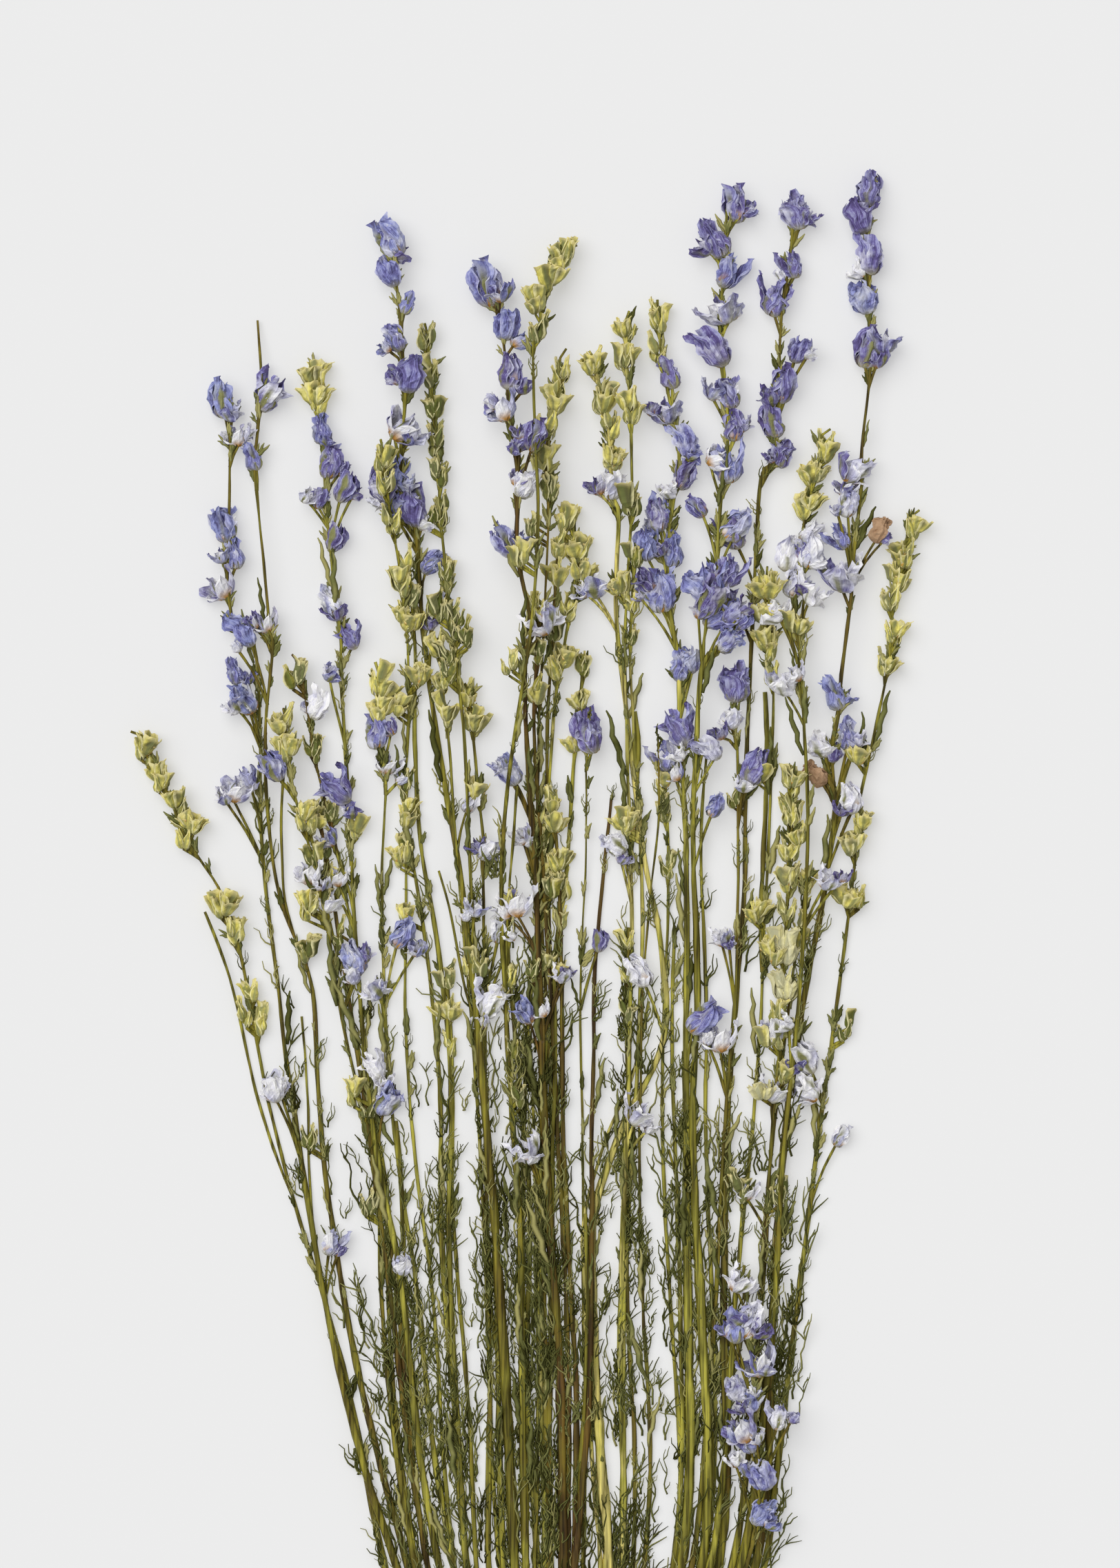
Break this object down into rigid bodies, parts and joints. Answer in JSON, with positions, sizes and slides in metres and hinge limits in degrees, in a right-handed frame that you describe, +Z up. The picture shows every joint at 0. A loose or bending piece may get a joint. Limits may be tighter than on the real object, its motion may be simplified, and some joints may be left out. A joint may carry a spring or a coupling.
{
  "type": "bunch of dried larkspur",
  "caption": "Bunch of dried larkspur lying flat: slender stems fanned out with blue-violet florets and yellow-green buds, gathered near the cut ends by a twine tie.",
  "frame": {"origin": "middle of the bunch's box, on the surface that it lies on", "axes": "+Z up off the surface, +Y along the stalks from the cut ends to the tips, +X to the right with the tips pointing away"},
  "size_m": [0.2786, 0.684, 0.0229],
  "materials": {
    "stem": "dry, ribbed, matt olive",
    "stem_brown": "dry, matt brown",
    "petal_blue": "papery, crumpled, matt",
    "petal_violet": "papery, crumpled, matt",
    "bud_yellow": "papery, ribbed, matt",
    "bud_green": "papery, ribbed, matt",
    "leaf": "shrivelled, matt",
    "twine": "plain twisted fibre"
  },
  "bodies": {
    "root": {"spike_01": "bud_yellow", "spike_02": "petal_blue", "spike_03": "petal_blue", "spike_04": "petal_blue", "spike_05": "petal_blue", "spike_06": "bud_green", "spike_07": "bud_yellow", "spike_08": "bud_yellow", "spike_09": "petal_blue", "spike_10": "bud_yellow", "spike_11": "petal_blue", "spike_12": "bud_yellow", "spike_13": "bud_yellow", "spike_14": "bud_yellow", "spike_15": "bud_yellow", "spike_16": "bud_yellow", "spike_17": "petal_violet", "spike_19": "petal_blue", "spike_20": "petal_blue", "spike_21": "petal_violet", "spike_22": "bud_yellow", "spike_23": "bud_yellow", "spike_24": "petal_blue", "spike_25": "bud_yellow", "spike_26": "bud_yellow", "spike_27": "petal_blue", "spike_28": "petal_violet", "spike_29": "bud_green", "stem_01": "stem", "stem_02": "stem", "stem_03": "stem", "stem_04": "stem", "stem_05": "stem", "stem_06": "stem", "stem_07": "stem", "stem_08": "stem", "stem_09": "stem", "stem_10": "stem", "stem_11": "stem", "stem_12": "stem", "stem_13": "stem", "stem_14": "stem", "stem_15": "stem", "stem_16": "stem", "stem_17": "stem", "stem_18": "stem", "stem_19": "stem", "stem_20": "stem", "stem_21": "stem", "stem_22": "stem", "stem_23": "stem", "stem_24": "stem", "stem_25": "stem", "stem_26": "stem", "stem_27": "stem", "stem_28": "stem", "stem_29": "stem", "stem_30": "stem_brown", "twine_tie": "twine"}
  },
  "joints": []
}
